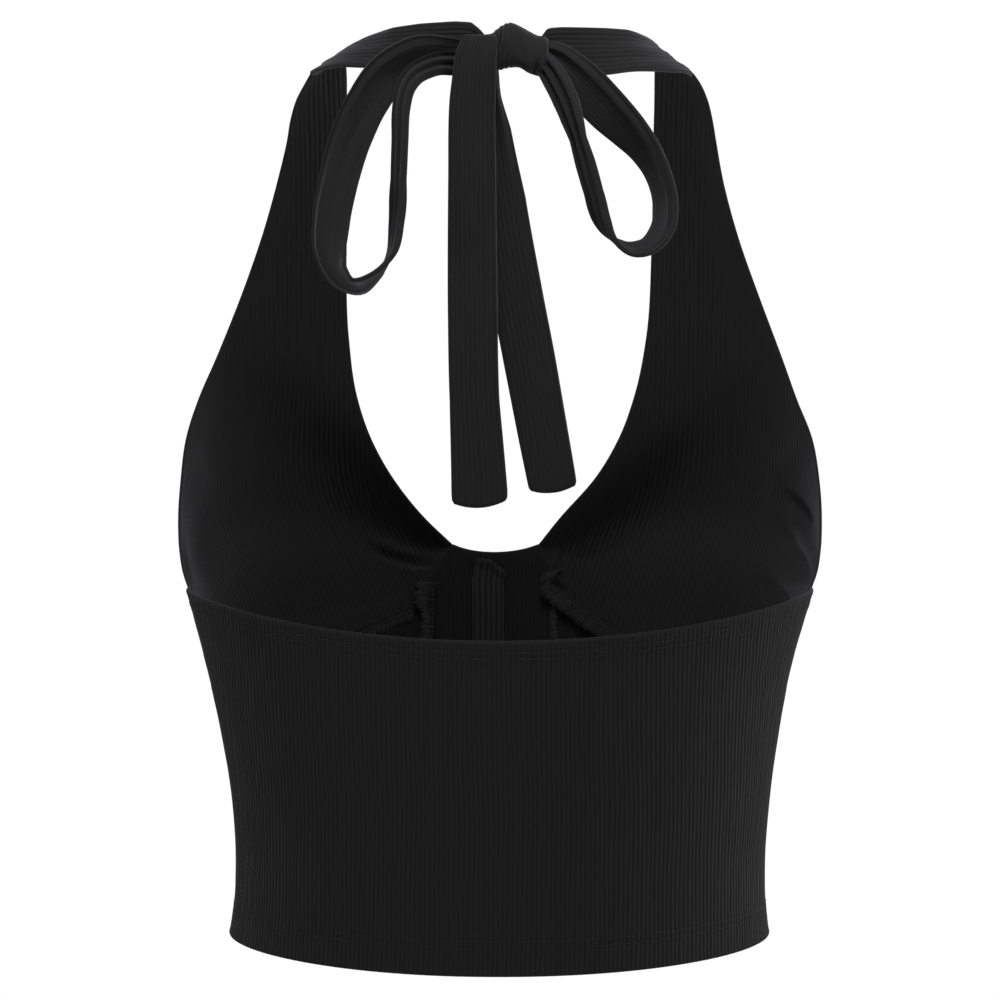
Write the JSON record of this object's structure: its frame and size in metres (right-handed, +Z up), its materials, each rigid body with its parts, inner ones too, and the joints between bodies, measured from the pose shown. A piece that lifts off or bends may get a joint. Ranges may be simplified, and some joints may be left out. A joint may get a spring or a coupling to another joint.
{
  "type": "halter neck top",
  "caption": "Short fitted halter neck top in fine rib knit with a low straight back, gathered bust cups cut in one with the straps, and ties knotted in a bow at the nape.",
  "frame": {"origin": "middle of the wearer's neck, level with the bottom of the neckband at the nape, where the garment is held up", "axes": "+Z up the garment from hem to neck, +Y towards the wearer's back where the bow hangs, +X towards the wearer's left side"},
  "size_m": [0.296, 0.2285, 0.414],
  "materials": {
    "rib_knit": "black fine rib knit, matt with a faint soft sheen"
  },
  "bodies": {
    "root": {"back_panel": "rib_knit", "front_center_panel": "rib_knit", "front_side_panel_left": "rib_knit", "front_side_panel_right": "rib_knit", "cup_left": "rib_knit", "cup_right": "rib_knit", "center_strip": "rib_knit", "neck_tie_left": "rib_knit", "neck_tie_right": "rib_knit", "bow_knot": "rib_knit", "bow_loop_left": "rib_knit", "bow_loop_right": "rib_knit", "bow_tail_left": "rib_knit", "bow_tail_right": "rib_knit"}
  },
  "joints": []
}
